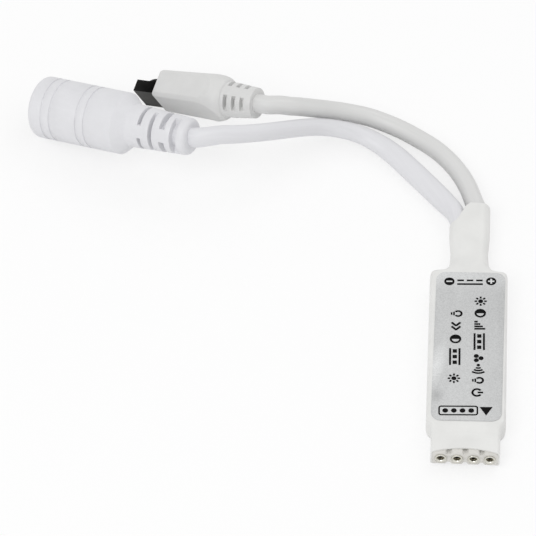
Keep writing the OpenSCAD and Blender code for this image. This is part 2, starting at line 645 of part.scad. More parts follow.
// One row of slots round a strain relief, with bridges left between them
module slot_row(floor_r, width, bridge, bridges) difference() {
    cylinder(h = width, d = jack_d, center = true);
    cylinder(h = width + cut_over, r = floor_r, center = true);
    for (i = [0 : bridges - 1]) rotate(360 * i / bridges) translate([0, -bridge / 2, -width / 2 - cut_over])
        cube([jack_d, bridge, width + 2 * cut_over]);
}

module jack_overmould() color("#dfe1e4") on_jack() difference() {
    rotate_extrude() polygon(concat(
        [[jack_channel_r, 0]],
        [for (a = [0 : 15 : 90])
            [jack_relief_end_d / 2 - jack_tail_r * (1 - sin(a)), jack_tail_r * (1 - cos(a))]],
        [[jack_relief_d / 2, jack_relief_len], [jack_r, jack_relief_len + jack_taper_len]],
        [for (share = groove_place_shares) let (z = jack_len - jack_barrel_len * (1 - share))
            each [[jack_r, z - groove_w / 2], [jack_r - groove_d, z - groove_w / 2],
                [jack_r - groove_d, z + groove_w / 2], [jack_r, z + groove_w / 2]]],
        [for (a = [0 : 15 : 90])
            [jack_r - jack_rim_r * (1 - cos(a)), jack_len - jack_rim_r * (1 - sin(a))]],
        [[core_d / 2 + seat_gap, jack_len], [core_d / 2 + seat_gap, core_start - seat_gap],
            [jack_cavity_r, core_start - seat_gap], [jack_cavity_r, jack_cavity_start],
            [jack_channel_r, jack_cavity_start]]));
    for (i = [0 : len(jack_slot_shares) - 1]) translate([0, 0, jack_slot_start + i * jack_slot_pitch])
        rotate(jack_bridge_turn + 90 * (i % 2))
            slot_row(jack_channel_r + slot_floor, jack_slot_shares[i] * slot_w, bridge_w, 2);
}

// The slot and the shape of the leaf contact, on the upper side of the plug's hole
module leaf_shape(grow) rotate([90, 0, 0])
    linear_extrude(leaf_w + 2 * grow, center = true) children();

module jack_core() color("#2c2c2e") on_jack() translate([0, 0, core_start]) difference() {
    cylinder(h = core_len, d = core_d);
    translate([0, 0, core_len - plug_depth]) cylinder(h = plug_depth + cut_over, d = plug_bore_d);
    translate([0, 0, -cut_over]) cylinder(h = core_len, d = pin_shank_d + 2 * seat_gap);
    leaf_shape(seat_gap) polygon([[-leaf_r - leaf_t - seat_gap, -cut_over],
        [-leaf_r - leaf_t - seat_gap, core_len - leaf_front], [0, core_len - leaf_front],
        [0, core_len - plug_depth], [seat_gap - leaf_r, core_len - plug_depth],
        [seat_gap - leaf_r, -cut_over]]);
}

module jack_leaf_contact() color("#d3c08a") on_jack() translate([0, 0, core_start]) {
    low = core_len - plug_depth;
    high = core_len - leaf_front - seat_gap;
    mid = (low + high) / 2;
    leaf_shape(0) polygon([[-leaf_r, -leaf_tail_len], [-leaf_r, mid - leaf_bump_run],
        [leaf_bump - leaf_r, mid], [-leaf_r, mid + leaf_bump_run], [-leaf_r, high], [-leaf_r - leaf_t, high],
        [-leaf_r - leaf_t, mid + leaf_bump_run], [leaf_bump - leaf_r - leaf_t, mid],
        [-leaf_r - leaf_t, mid - leaf_bump_run], [-leaf_r - leaf_t, -leaf_tail_len]]);
}

module jack_centre_pin() color("#d3c08a") on_jack() translate([0, 0, core_start]) rotate_extrude() {
    web = core_len - plug_depth;
    tip = core_len - pin_recess + core_recess;
    polygon([[0, -pin_tail_len], [pin_shank_d / 2, -pin_tail_len], [pin_shank_d / 2, web], [pin_d / 2, web],
        [pin_d / 2, tip - pin_nose], [pin_d / 2 - pin_nose, tip], [0, tip]]);
}

module jack_wire_tails() color("#b23a33") on_jack() {
    bend = core_start - leaf_tail_len / 2;
    wire([[jack_wire_x, 0, 0], [jack_wire_x, 0, core_start - pin_tail_len]], power_core_d, [0, 1, 0]);
    wire([[-jack_wire_x, 0, 0], [-jack_wire_x, 0, bend - power_core_d],
        [-jack_wire_x - power_core_d, 0, bend], [-leaf_r, 0, bend]], power_core_d, [0, 1, 0]);
}

// The half outline of the moulded head: half widths at its swell and at its nose
function head_outline(wide, nose) = let (edge = [for (a = [0 : 30 : 90])
        [nose - head_nose_r * (1 - cos(a)), head_len - head_nose_r * (1 - sin(a))]])
    concat([[head_outline_share * wide, -cut_over], [head_outline_share * wide, head_relief_len],
        [wide, head_relief_len + head_ogive_len]], edge,
        [for (i = [len(edge) - 1 : -1 : 0]) [-edge[i][0], edge[i][1]]],
        [[-wide, head_relief_len + head_ogive_len], [-head_outline_share * wide, head_relief_len],
        [-head_outline_share * wide, -cut_over]]);

module receiver_overmould() color("#cfd0d0") on_head() difference() {
    intersection() {
        rotate_extrude() polygon(concat([[0, 0], [head_relief_end_d / 2, 0]],
            [for (a = [0 : 15 : 90]) [blend(head_relief_d / 2, head_swell_r, sin(a)),
                head_relief_len + head_ogive_len * (1 - cos(a))]],
            [[head_round_r, head_len - head_nose_r], [head_round_r - head_nose_share * head_nose_r, head_len],
                [0, head_len]]));
        rotate([90, 0, 0]) linear_extrude(2 * head_w, center = true)
            polygon(head_outline(head_w / 2 * (1 + head_draft_share), head_w / 2));
        rotate([90, 0, 90]) linear_extrude(2 * head_w, center = true)
            polygon(head_outline(head_t / 2 * (1 + head_draft_share), head_t / 2));
    }
    translate([0, sensor_y, sensor_back - seat_gap])
        block([sensor_w + 2 * seat_gap, sensor_t + 2 * seat_gap, sensor_in + cut_over + seat_gap]);
    sensor_dome(seat_gap);
    translate([0, head_cavity_y, head_cavity_start])
        block(concat(head_cavity, sensor_back - head_cavity_start));
    translate([0, 0, -cut_over]) cylinder(h = head_cavity_start + 2 * cut_over, r = head_channel_r);
    for (i = [0 : head_slots - 1]) translate([0, 0, head_slot_start + i * head_slot_pitch])
        rotate(head_bridge_turn)
            slot_row(head_channel_r + head_slot_floor, head_slot_w, head_bridge_w, head_bridges);
}

// The dome on the far side of the sensor, drawn larger for its seat in the head
module sensor_dome(grow) {
    face_at = sensor_y - sensor_t / 2;
    intersection() {
        translate([0, face_at - dome_h + dome_sphere_r, head_len + sensor_out - dome_place])
            sphere(r = dome_sphere_r + grow);
        translate([0, face_at - dome_h, head_len - sensor_w])
            block([2 * sensor_w, 2 * dome_h + sensor_t, 2 * sensor_w]);
    }
}

module receiver_sensor() color("#1c1c1e") on_head() {
    translate([0, sensor_y, sensor_back]) block([sensor_w, sensor_t, sensor_in + sensor_out]);
    sensor_dome(0);
}

module receiver_leads() color("#c6c8cc") on_head() for (i = [-1 : 1])
    translate([i * receiver_lead_pitch, sensor_y, sensor_back - receiver_lead_len])
        block([receiver_lead_w, receiver_lead_t, receiver_lead_len]);

module receiver_wire_tails() color("#8f6f3a") on_head() for (i = [-1 : 1]) {
    turn = lead_wire_turns[i + 1];
    from = [receiver_core_ring * cos(turn), receiver_core_ring * sin(turn), 0];
    to = [i * receiver_lead_pitch, sensor_y, sensor_back - receiver_lead_len];
    wire([from, from + [0, 0, wire_fan_start], to - [0, 0, wire_fan_end], to], receiver_core_d, [0, 1, 0]);
}

shrink_sleeve();
label_foil();
circuit_board();
control_chip();
voltage_regulator();
polarity_diode();
power_transistors();
ceramic_capacitors();
chip_resistors();
socket_strip();
contact_sleeves();
contact_clips();
solder_joints();
power_cord();
power_wire_positive();
power_wire_negative();
receiver_cord();
receiver_wire_supply();
receiver_wire_ground();
receiver_wire_signal();
jack_overmould();
jack_core();
jack_centre_pin();
jack_leaf_contact();
jack_wire_tails();
receiver_overmould();
receiver_sensor();
receiver_leads();
receiver_wire_tails();
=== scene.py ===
"""Inline controller for colour light strips, with its two cords and moulded ends, on a pale table."""

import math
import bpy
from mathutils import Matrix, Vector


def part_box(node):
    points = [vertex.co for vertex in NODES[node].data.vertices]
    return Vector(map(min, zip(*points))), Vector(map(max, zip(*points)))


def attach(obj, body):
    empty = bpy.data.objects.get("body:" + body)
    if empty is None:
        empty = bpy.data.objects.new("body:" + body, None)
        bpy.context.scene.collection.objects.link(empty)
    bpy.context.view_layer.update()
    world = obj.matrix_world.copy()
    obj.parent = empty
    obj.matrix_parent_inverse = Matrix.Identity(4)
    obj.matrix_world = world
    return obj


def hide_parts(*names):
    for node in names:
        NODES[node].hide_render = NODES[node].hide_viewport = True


bl_info = {
    "name": "Light strip controller",
    "version": (1, 0, 0),
    "blender": (4, 5, 0),
    "location": "View3D > Sidebar > Controller",
    "description": "Builds a sleeved light strip controller with its cords, power socket and receiver",
    "category": "Add Mesh",
}

import bmesh
import bpy
from mathutils import Matrix, Vector, noise

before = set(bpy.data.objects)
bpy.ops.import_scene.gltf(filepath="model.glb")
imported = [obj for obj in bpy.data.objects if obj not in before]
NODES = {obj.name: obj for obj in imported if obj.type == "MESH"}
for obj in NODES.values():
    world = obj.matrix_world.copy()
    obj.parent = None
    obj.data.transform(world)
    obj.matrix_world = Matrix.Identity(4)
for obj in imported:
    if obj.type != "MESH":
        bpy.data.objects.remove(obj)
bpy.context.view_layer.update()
MM = 0.001

# The photograph's camera: where it looks and from how far in metres, its angles in degrees and its lens
CAMERA_TARGET = Vector((-0.032498, 0.014202, 0))
CAMERA_DISTANCE = 0.676
CAMERA_TURN = 2.7
CAMERA_RISE = 48
CAMERA_LENS = 280.07

# Each lamp's place from the camera's target in metres, and its power in watts
LAMPS = {"key": ((-0.3, -0.5, 0.7), 2.2), "fill": ((0.35, 0.45, 0.7), 0.8)}
LAMP_SIZE = 0.5
TABLE_SIZE = 1.5
# How far the table lies under the part, so that their faces don't coincide
TABLE_DROP = 0.02 * MM

# The sleeve's mouth, from which the points of both routes are measured along y, in metres
MOUTH_Y = 0.02048
POWER_EXIT = Vector((-0.001565, MOUTH_Y, 0.00218))
POWER_ROUTE = [
    (-0.0016, 0.0024, 0.00215), (-0.0025, 0.0054, 0.0021), (-0.0038, 0.0074, 0.0019),
    (-0.0052, 0.0093, 0.00175), (-0.0077, 0.0125, 0.00165), (-0.0104, 0.0158, 0.0016),
    (-0.0126, 0.0183, 0.00165), (-0.0151, 0.0205, 0.0018), (-0.0185, 0.022, 0.0025),
    (-0.0219, 0.0219, 0.0037), (-0.0252, 0.0208, 0.0052), (-0.0284, 0.0186, 0.0071),
    (-0.0315, 0.0162, 0.0089), (-0.0346, 0.0141, 0.0104), (-0.038, 0.0127, 0.0113),
    (-0.0412, 0.0119, 0.0118), (-0.0437, 0.0115, 0.0116),
]
POWER_END = Vector((-0.0457, MOUTH_Y + 0.0118, 0.011134))
POWER_END_HEADING = Vector((-0.884825, 0.4126, -0.21644))
# Share of the way along and turn of the oval cord's wide side from level, in degrees
POWER_TWIST = [(0, 90), (0.08, 88), (0.2, 50), (0.33, 25), (0.45, -10), (0.6, -46), (0.8, -60), (1, -90)]

RECEIVER_EXIT = Vector((0.001465, MOUTH_Y, 0.00218))
RECEIVER_ROUTE = [
    (0.00145, 0.003, 0.00215), (0.0012, 0.006, 0.0021), (0.0005, 0.0084, 0.002),
    (-0.0004, 0.0114, 0.0018), (-0.0017, 0.0144, 0.00165), (-0.0036, 0.0174, 0.0016),
    (-0.0059, 0.02, 0.0016), (-0.0089, 0.0224, 0.0016), (-0.0122, 0.0245, 0.0017),
    (-0.0145, 0.0255, 0.0019), (-0.017, 0.0261, 0.0024), (-0.0203, 0.026, 0.0034),
    (-0.0237, 0.0251, 0.0049), (-0.0261, 0.0239, 0.0064), (-0.0286, 0.0227, 0.0079),
    (-0.0302, 0.0219, 0.0088), (-0.0319, 0.0216, 0.0093), (-0.0338, 0.0214, 0.0094),
]
RECEIVER_END = Vector((-0.0356, MOUTH_Y + 0.022, 0.009124))
RECEIVER_END_HEADING = Vector((-0.87816, 0.39098, -0.27564))
ROUND_TWIST = [(0, 0), (1, 0)]

# Steps between two points of a route, and sides round a cord
CORD_STEPS = 5
CORD_SIDES = 32


class ControllerSizes(bpy.types.PropertyGroup):
    """Sizes of the visible details."""

    ink_thickness: bpy.props.FloatProperty(
        name="Ink thickness", description="Thickness of the print on the label",
        default=0.02 * MM, unit="LENGTH")
    soft_edge: bpy.props.FloatProperty(
        name="Soft edge", description="Width of the rounding on the power socket's moulding",
        default=0.12 * MM, unit="LENGTH")
    head_edge: bpy.props.FloatProperty(
        name="Head edge", description="Width of the rounding on the receiver's moulding",
        default=0.22 * MM, unit="LENGTH")
    hard_edge: bpy.props.FloatProperty(
        name="Hard edge", description="Width of the rounding on small pieces of hard plastic and metal",
        default=0.04 * MM, unit="LENGTH")
    strip_edge: bpy.props.FloatProperty(
        name="Strip edge", description="Width of the rounding on the socket strip",
        default=0.06 * MM, unit="LENGTH")
    foil_edge: bpy.props.FloatProperty(
        name="Foil edge", description="Width of the rounding on the label's foil",
        default=0.03 * MM, unit="LENGTH")
    clip_edge: bpy.props.FloatProperty(
        name="Clip edge", description="Width of the rounding on the spring clips",
        default=0.01 * MM, unit="LENGTH")
    strip_growth: bpy.props.FloatProperty(
        name="Strip growth", description="How much wider and higher the seen strip is than its solid",
        default=0.09 * MM, unit="LENGTH")
    sleeve_unevenness: bpy.props.FloatProperty(
        name="Sleeve unevenness", description="How far the shrunk sleeve waves in and out beside the board",
        default=0.07 * MM, unit="LENGTH")
    power_cord_width: bpy.props.FloatProperty(
        name="Power cord width", description="Width of the oval cord",
        default=3.7 * MM, unit="LENGTH")
    power_cord_thickness: bpy.props.FloatProperty(
        name="Power cord thickness", description="Thickness of the oval cord",
        default=2.9 * MM, unit="LENGTH")
    receiver_cord_diameter: bpy.props.FloatProperty(
        name="Receiver cord diameter", description="Diameter of the round cord",
        default=3.1 * MM, unit="LENGTH")


def linear(hex_colour):
    """An sRGB hex value as a linear colour."""
    parts = [int(hex_colour[i:i + 2], 16) / 255 for i in (1, 3, 5)]
    return tuple(c / 12.92 if c <= 0.04045 else ((c + 0.055) / 1.055) ** 2.4 for c in parts)


def colour_property(name, description, hex_colour):
    """A colour that a user may change, given as an sRGB hex value."""
    return bpy.props.FloatVectorProperty(
        name=name, description=description, subtype="COLOR", size=3, min=0, max=1,
        default=linear(hex_colour))


class ControllerColours(bpy.types.PropertyGroup):
    """Colours of the finishes."""

    sleeve: colour_property("Sleeve", "White shrunk sleeve", "#E4E4E2")
    label: colour_property("Label", "Silver of the label", "#CDCECE")
    ink: colour_property("Ink", "Black of the print on the label", "#0C0C0C")
    power_jacket: colour_property("Power cord", "Cool white of the power cord and its socket", "#DEDEE1")
    receiver_jacket: colour_property("Receiver cord", "Grey white of the receiver cord and head", "#D8D8D7")
    strip: colour_property("Socket strip", "Warm white of the socket strip", "#DCDAD5")
    floor: colour_property("Floor", "Table under the object", "#F8F8F8")


def node(tree, kind, settings=None, inputs=None, stops=None):
    """Adds a node with its settings, sets or links its inputs, and gives a ramp its stops."""
    made = tree.nodes.new(kind)
    for key, value in (settings or {}).items():
        setattr(made, key, value)
    for key, value in (inputs or {}).items():
        if isinstance(value, bpy.types.NodeSocket):
            tree.links.new(value, made.inputs[key])
        else:
            made.inputs[key].default_value = value
    for i, (place, colour) in enumerate(stops or []):
        elements = made.color_ramp.elements
        element = elements[i] if i < 2 else elements.new(place)
        element.position = place
        element.color = (*colour, 1)
    return made


def per_mm(size):
    """The scale of a pattern whose grains, lines or clouds are of this size in millimetres."""
    return 1 / (size * MM)


def shade(colour, factor):
    """A linear colour made lighter or darker by a factor."""
    return tuple(min(1, c * factor) for c in colour)


def new_finish(name, **sockets):
    """A new material with one shader; returns it with its tree, its shader and the object coordinates."""
    material = bpy.data.materials.new(name)
    material.use_nodes = True
    tree = material.node_tree
    shader = tree.nodes["Principled BSDF"]
    for key, value in sockets.items():
        shader.inputs[key.replace("_", " ")].default_value = value
    return material, tree, shader, node(tree, "ShaderNodeTexCoord").outputs["Object"]


def heat_shrunk_polyolefin(colour):
    # Thin white tube drawn tight by heat: satin, faintly cloudy and uneven, with lines along it that are
    # drawn coarser than the real ones, so that they show
    material, tree, shader, place = new_finish(
        "heat_shrunk_polyolefin", Roughness=0.4, IOR=1.5, Coat_Weight=0.1, Coat_Roughness=0.3)
    cloud = node(tree, "ShaderNodeTexNoise", inputs={"Vector": place, "Scale": per_mm(4.4), "Detail": 3.0})
    tint = node(tree, "ShaderNodeValToRGB", inputs={"Fac": cloud.outputs["Fac"]},
                stops=[(0.32, shade(colour, 0.945)), (0.66, colour)])
    tree.links.new(tint.outputs["Color"], shader.inputs["Base Color"])
    drawn = node(tree, "ShaderNodeMapping", inputs={"Vector": place, "Scale": (1.0, 0.06, 1.0)})
    lines = node(tree, "ShaderNodeTexNoise", inputs={
        "Vector": drawn.outputs["Vector"], "Scale": per_mm(0.42), "Detail": 2.0})
    waves = node(tree, "ShaderNodeTexNoise", inputs={"Vector": place, "Scale": per_mm(2.6), "Detail": 2.0})
    fine = node(tree, "ShaderNodeBump", inputs={
        "Strength": 0.15, "Distance": 0.04 * MM, "Height": lines.outputs["Fac"]})
    bump = node(tree, "ShaderNodeBump", inputs={
        "Strength": 0.3, "Distance": 0.2 * MM, "Height": waves.outputs["Fac"],
        "Normal": fine.outputs["Normal"]})
    tree.links.new(bump.outputs["Normal"], shader.inputs["Normal"])
    return material


# The foil's left and right sides, between which painted shade darkens it towards the right, and where along
# the sleeve it climbs the shoulder, where painted light pales it, in millimetres
FOIL_SIDES = (-5.5, 5.5)
FOIL_CLIMB = (6.0, 10.4)
# A painted highlight and a darker patch where the foil bends over the sleeve's left edge: middle, width and
# length in millimetres, and how much lighter or darker
FOIL_PAINTED_PATCHES = (((-4.9, -9.2), 1.5, 6.0, 0.5), ((-4.6, -15.4), 1.3, 1.8, -0.4))


def brushed_silver_foil(colour):
    # Silver foil label: sparkling grain, drawn coarser than the real one so that it shows, and slanting
    # streaks; painted shade that darkens it from its left side to its right, painted light that pales the
    # end that climbs the sleeve's shoulder, and a painted highlight and a darker patch where the foil bends
    # over the sleeve's left edge
    material, tree, shader, place = new_finish("brushed_silver_foil", Metallic=0.3, Roughness=0.42)
    parts = node(tree, "ShaderNodeSeparateXYZ", inputs={"Vector": place})
    # Painted shade: the foil darkens from its left side to its right
    level = node(tree, "ShaderNodeMapRange", inputs={
        "Value": parts.outputs["X"], "From Min": FOIL_SIDES[0] * MM, "From Max": FOIL_SIDES[1] * MM,
        "To Min": 0.5, "To Max": 0.26})
    # Painted light: the foil pales where it climbs the sleeve's shoulder
    end = node(tree, "ShaderNodeMapRange", {"interpolation_type": "SMOOTHSTEP"}, {
        "Value": parts.outputs["Y"], "From Min": FOIL_CLIMB[0] * MM, "From Max": FOIL_CLIMB[1] * MM,
        "To Min": 0.0, "To Max": 0.28})
    slanted = node(tree, "ShaderNodeMapping", inputs={
        "Vector": place, "Rotation": (0, 0, math.radians(28)), "Scale": (1.0, 0.12, 1.0)})
    streaks = node(tree, "ShaderNodeTexNoise", inputs={
        "Vector": slanted.outputs["Vector"], "Scale": per_mm(1.1), "Detail": 3.0})
    cloud = node(tree, "ShaderNodeTexNoise", inputs={"Vector": place, "Scale": per_mm(6.7), "Detail": 1.0})
    total = node(tree, "ShaderNodeMath", {"operation": "ADD"}, {
        0: level.outputs["Result"], 1: end.outputs["Result"]})
    for source, share in ((streaks, 0.16), (cloud, 0.2)):
        around = node(tree, "ShaderNodeMath", {"operation": "SUBTRACT"}, {0: source.outputs["Fac"], 1: 0.5})
        total = node(tree, "ShaderNodeMath", {"operation": "MULTIPLY_ADD"}, {
            0: around.outputs["Value"], 1: share, 2: total.outputs["Value"]})
    # A painted highlight and a darker patch where the foil bends over the sleeve's left edge
    for (x, y), width, length, share in FOIL_PAINTED_PATCHES:
        spot = node(tree, "ShaderNodeMapping", {"vector_type": "TEXTURE"}, {
            "Vector": place, "Location": (x * MM, y * MM, 4 * MM), "Rotation": (0, 0, math.radians(-12)),
            "Scale": (width * MM, length * MM, 20 * MM)})
        painted_patch = node(tree, "ShaderNodeTexGradient", {"gradient_type": "SPHERICAL"}, {
            "Vector": spot.outputs["Vector"]})
        total = node(tree, "ShaderNodeMath", {"operation": "MULTIPLY_ADD"}, {
            0: painted_patch.outputs["Fac"], 1: share, 2: total.outputs["Value"]})
    base = node(tree, "ShaderNodeValToRGB", inputs={"Fac": total.outputs["Value"]}, stops=[
        (0.0, shade(colour, 0.7)), (1.0, shade(colour, 1.3))])
    grain = node(tree, "ShaderNodeTexNoise", inputs={"Vector": place, "Scale": per_mm(0.19), "Detail": 3.0})
    speck = node(tree, "ShaderNodeValToRGB", inputs={"Fac": grain.outputs["Fac"]},
                 stops=[(0.3, linear("#DCDCDC")), (0.7, linear("#FFFFFF"))])
    grained = node(tree, "ShaderNodeMix", {"data_type": "RGBA", "blend_type": "MULTIPLY"}, {
        0: 0.7, 6: base.outputs["Color"], 7: speck.outputs["Color"]})
    tree.links.new(grained.outputs[2], shader.inputs["Base Color"])
    bump = node(tree, "ShaderNodeBump", inputs={
        "Strength": 0.15, "Distance": 0.03 * MM, "Height": grain.outputs["Fac"]})
    tree.links.new(bump.outputs["Normal"], shader.inputs["Normal"])
    return material


def screen_ink(name, colour):
    # Screen-printed ink: matt, with slightly thin patches
    material, tree, shader, place = new_finish(name, Roughness=0.7, Specular_IOR_Level=0.08)
    patch = node(tree, "ShaderNodeTexNoise", inputs={"Vector": place, "Scale": per_mm(0.26), "Detail": 2.0})
    tint = node(tree, "ShaderNodeValToRGB", inputs={"Fac": patch.outputs["Fac"]},
                stops=[(0.35, colour), (0.75, shade(colour, 1.3))])
    tree.links.new(tint.outputs["Color"], shader.inputs["Base Color"])
    return material


def soft_pvc(name, colour):
    # Soft vinyl of the mouldings and the wires: satin, faintly clouded, with a matt grain that is drawn
    # coarser than the real one, so that it shows
    material, tree, shader, place = new_finish(name, Roughness=0.46, IOR=1.53)
    cloud = node(tree, "ShaderNodeTexNoise", inputs={
        "Vector": place, "Scale": per_mm(3.1), "Detail": 4.0, "Roughness": 0.6})
    tint = node(tree, "ShaderNodeValToRGB", inputs={"Fac": cloud.outputs["Fac"]},
                stops=[(0.3, shade(colour, 0.965)), (0.7, shade(colour, 1.01))])
    tree.links.new(tint.outputs["Color"], shader.inputs["Base Color"])
    skin = node(tree, "ShaderNodeTexNoise", inputs={"Vector": place, "Scale": per_mm(0.38), "Detail": 3.0})
    bump = node(tree, "ShaderNodeBump", inputs={
        "Strength": 0.25, "Distance": 0.05 * MM, "Height": skin.outputs["Fac"]})
    tree.links.new(bump.outputs["Normal"], shader.inputs["Normal"])
    return material


def extruded_pvc(name, colour):
    # Soft vinyl drawn through a die: satin, with lines that follow the cord and a faint matt grain, both
    # drawn coarser than the real ones, so that they show
    material, tree, shader, place = new_finish(name, Roughness=0.42, IOR=1.53)
    along = node(tree, "ShaderNodeUVMap", {"uv_map": "UVMap"}).outputs["UV"]
    drawn = node(tree, "ShaderNodeMapping", inputs={"Vector": along, "Scale": (1.0, 0.03, 1.0)})
    lines = node(tree, "ShaderNodeTexNoise", inputs={
        "Vector": drawn.outputs["Vector"], "Scale": per_mm(0.62), "Detail": 2.0})
    tint = node(tree, "ShaderNodeValToRGB", inputs={"Fac": lines.outputs["Fac"]},
                stops=[(0.3, shade(colour, 0.965)), (0.7, shade(colour, 1.01))])
    tree.links.new(tint.outputs["Color"], shader.inputs["Base Color"])
    skin = node(tree, "ShaderNodeTexNoise", inputs={"Vector": place, "Scale": per_mm(0.42), "Detail": 2.0})
    grain = node(tree, "ShaderNodeBump", inputs={
        "Strength": 0.15, "Distance": 0.04 * MM, "Height": skin.outputs["Fac"]})
    bump = node(tree, "ShaderNodeBump", inputs={
        "Strength": 0.3, "Distance": 0.1 * MM, "Height": lines.outputs["Fac"],
        "Normal": grain.outputs["Normal"]})
    tree.links.new(bump.outputs["Normal"], shader.inputs["Normal"])
    return material


def moulded_resin(name, colour, roughness=0.4):
    # Hard moulded plastic or resin, or fired ceramic: even colour with a fine mould texture
    material, tree, shader, place = new_finish(name, Roughness=roughness, IOR=1.5)
    cloud = node(tree, "ShaderNodeTexNoise", inputs={"Vector": place, "Scale": per_mm(1.4), "Detail": 3.0})
    tint = node(tree, "ShaderNodeValToRGB", inputs={"Fac": cloud.outputs["Fac"]},
                stops=[(0.3, shade(colour, 0.88)), (0.7, colour)])
    tree.links.new(tint.outputs["Color"], shader.inputs["Base Color"])
    skin = node(tree, "ShaderNodeTexNoise", inputs={"Vector": place, "Scale": per_mm(0.25), "Detail": 2.0})
    bump = node(tree, "ShaderNodeBump", inputs={
        "Strength": 0.15, "Distance": 0.03 * MM, "Height": skin.outputs["Fac"]})
    tree.links.new(bump.outputs["Normal"], shader.inputs["Normal"])
    return material


def filter_epoxy():
    # Epoxy that only infrared passes: a near black top, and sides that painted light turns a dull grey, the
    # more so the further they turn from up
    material, tree, shader, place = new_finish(
        "filter_epoxy", Roughness=0.4, IOR=1.5, Specular_IOR_Level=0.03)
    haze = node(tree, "ShaderNodeTexNoise", inputs={"Vector": place, "Scale": per_mm(1.7), "Detail": 3.0})
    surface = node(tree, "ShaderNodeNewGeometry")
    parts = node(tree, "ShaderNodeSeparateXYZ", inputs={"Vector": surface.outputs["Normal"]})
    # Painted light: faces turn greyer the further their normal turns from up
    painted_side_grey = node(tree, "ShaderNodeMapRange", inputs={
        "Value": parts.outputs["Z"], "From Min": 0.9, "From Max": 0.4, "To Min": 0.0, "To Max": 0.75})
    mixed = node(tree, "ShaderNodeMath", {"operation": "MULTIPLY_ADD"}, {
        0: haze.outputs["Fac"], 1: 0.14, 2: painted_side_grey.outputs["Result"]})
    tint = node(tree, "ShaderNodeValToRGB", inputs={"Fac": mixed.outputs["Value"]},
                stops=[(0.05, linear("#050505")), (0.95, linear("#595957"))])
    tree.links.new(tint.outputs["Color"], shader.inputs["Base Color"])
    skin = node(tree, "ShaderNodeTexNoise", inputs={"Vector": place, "Scale": per_mm(0.67), "Detail": 2.0})
    bump = node(tree, "ShaderNodeBump", inputs={
        "Strength": 0.08, "Distance": 0.03 * MM, "Height": skin.outputs["Fac"]})
    tree.links.new(bump.outputs["Normal"], shader.inputs["Normal"])
    return material


def plated_metal(name, colour, roughness):
    # Turned or stamped metal with a thin plating, or solder: bright, with fine marks
    material, tree, shader, place = new_finish(name, Metallic=1.0, Roughness=roughness)
    marks = node(tree, "ShaderNodeTexNoise", inputs={"Vector": place, "Scale": per_mm(0.33), "Detail": 3.0})
    tint = node(tree, "ShaderNodeValToRGB", inputs={"Fac": marks.outputs["Fac"]},
                stops=[(0.3, shade(colour, 0.86)), (0.65, colour)])
    tree.links.new(tint.outputs["Color"], shader.inputs["Base Color"])
    bump = node(tree, "ShaderNodeBump", inputs={
        "Strength": 0.15, "Distance": 0.02 * MM, "Height": marks.outputs["Fac"]})
    tree.links.new(bump.outputs["Normal"], shader.inputs["Normal"])
    return material


def solder_mask():
    # Lacquered glass laminate: green mask over copper traces that run along the board
    material, tree, shader, place = new_finish("solder_mask", Roughness=0.3, IOR=1.5)
    drawn = node(tree, "ShaderNodeMapping", inputs={"Vector": place, "Scale": (1.0, 0.22, 1.0)})
    traces = node(tree, "ShaderNodeTexBrick", inputs={
        "Vector": drawn.outputs["Vector"], "Scale": per_mm(1.9), "Mortar Size": 0.06,
        "Color1": (*linear("#1B6536"), 1), "Color2": (*linear("#217341"), 1),
        "Mortar": (*linear("#0F4723"), 1)})
    tree.links.new(traces.outputs["Color"], shader.inputs["Base Color"])
    bump = node(tree, "ShaderNodeBump", inputs={
        "Strength": 0.2, "Distance": 0.04 * MM, "Height": traces.outputs["Fac"]})
    tree.links.new(bump.outputs["Normal"], shader.inputs["Normal"])
    return material


def coated_board(colour):
    # Smooth white-coated board: matt and pale, and whiter to the camera, with the object's soft shadow kept
    material, tree, shader, place = new_finish("coated_board", Roughness=0.8)
    fibre = node(tree, "ShaderNodeTexNoise", inputs={"Vector": place, "Scale": per_mm(17), "Detail": 2.0})
    tint = node(tree, "ShaderNodeValToRGB", inputs={"Fac": fibre.outputs["Fac"]},
                stops=[(0.3, shade(colour, 0.995)), (0.7, colour)])
    tree.links.new(tint.outputs["Color"], shader.inputs["Base Color"])
    path = node(tree, "ShaderNodeLightPath")
    share = node(tree, "ShaderNodeMath", {"operation": "MULTIPLY"}, {
        0: path.outputs["Is Camera Ray"], 1: 0.7})
    white = node(tree, "ShaderNodeEmission", inputs={"Color": (1, 1, 1, 1), "Strength": 1.0})
    mixed = node(tree, "ShaderNodeMixShader", inputs={
        0: share.outputs["Value"], 1: shader.outputs["BSDF"], 2: white.outputs["Emission"]})
    tree.links.new(mixed.outputs["Shader"], tree.nodes["Material Output"].inputs["Surface"])
    return material


def new_piece(name, bm):
    """An object at the origin from a finished bmesh, riding on the controller's body."""
    mesh = bpy.data.meshes.new(name)
    bm.to_mesh(mesh)
    bm.free()
    piece = bpy.data.objects.new(name, mesh)
    bpy.context.scene.collection.objects.link(piece)
    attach(piece, "root")
    return piece


def finished(piece, material, slot, *node_names):
    """Gives a piece its material, and lets the CAD nodes that it stands for give way to it. Its slot is not
    used.
    """
    piece.data.materials.clear()
    piece.data.materials.append(material)
    if node_names:
        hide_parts(*node_names)
    return piece


# Corners closer than this are merged, and faces that turn less than this, in degrees, are joined
SAME_PLACE = 0.002 * MM
SAME_PLANE = 0.6


def merged(node_name):
    """A CAD node's loose triangles as a bmesh with its doubles merged."""
    bm = bmesh.new()
    bm.from_mesh(NODES[node_name].data)
    bmesh.ops.remove_doubles(bm, verts=bm.verts, dist=SAME_PLACE)
    return bm


